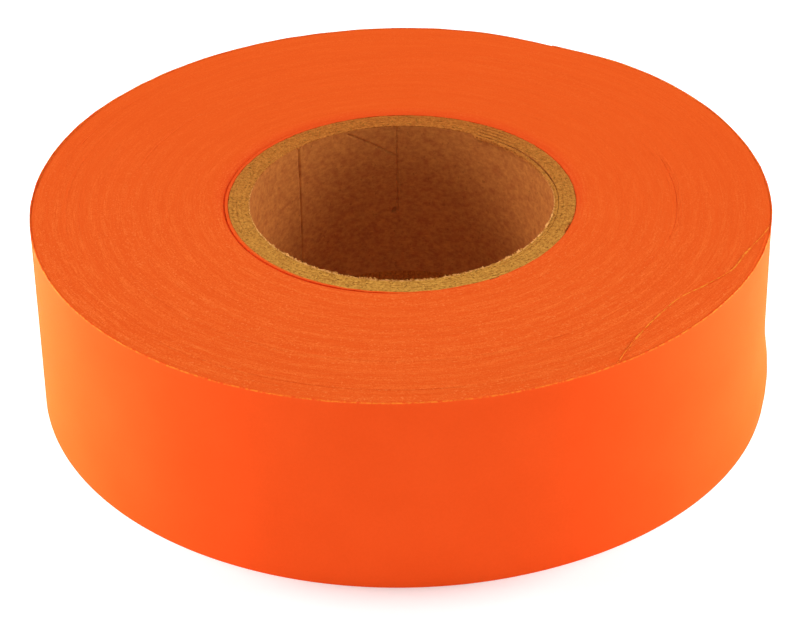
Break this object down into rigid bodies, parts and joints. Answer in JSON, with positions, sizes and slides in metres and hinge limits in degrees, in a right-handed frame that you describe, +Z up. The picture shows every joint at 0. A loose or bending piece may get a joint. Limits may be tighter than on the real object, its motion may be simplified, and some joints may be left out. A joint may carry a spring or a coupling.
{
  "type": "surveyor flagging tape roll",
  "caption": "Roll of non-adhesive fluorescent orange vinyl surveying ribbon wound on a brown cardboard core, with a free end that peels off.",
  "frame": {"origin": "on the roll's axis, in the plane of the lower face that it lies on", "axes": "+Z up along the roll's axis; +X to the right and +Y to the back, with the folded edge of the turn under the last at the right front and the free end at the right back"},
  "size_m": [0.109, 0.109, 0.0309],
  "materials": {
    "cardboard": "matte",
    "adhesive_strip": "satin",
    "vinyl_film": "matte"
  },
  "bodies": {
    "roll": {"core_liner_ply": "cardboard", "core_second_ply": "cardboard", "core_third_ply": "cardboard", "core_fourth_ply": "cardboard", "core_outer_ply": "cardboard", "start_strip": "adhesive_strip", "first_turn": "vinyl_film", "wound_ribbon": "vinyl_film", "folded_turn": "vinyl_film"},
    "outer_turn": {"last_turn": "vinyl_film"},
    "ribbon_end": {"free_end": "vinyl_film"}
  },
  "joints": [
    {"name": "unwind", "type": "hinge", "parent": "roll", "child": "outer_turn", "pos_m": [0, 0, 0], "axis": [0, 0, 1], "continuous": true},
    {"name": "peel", "type": "hinge", "parent": "outer_turn", "child": "ribbon_end", "pos_m": [0.05121, 0.01864, 0], "axis": [0, 0, -1], "range_deg": [0, 110]}
  ]
}
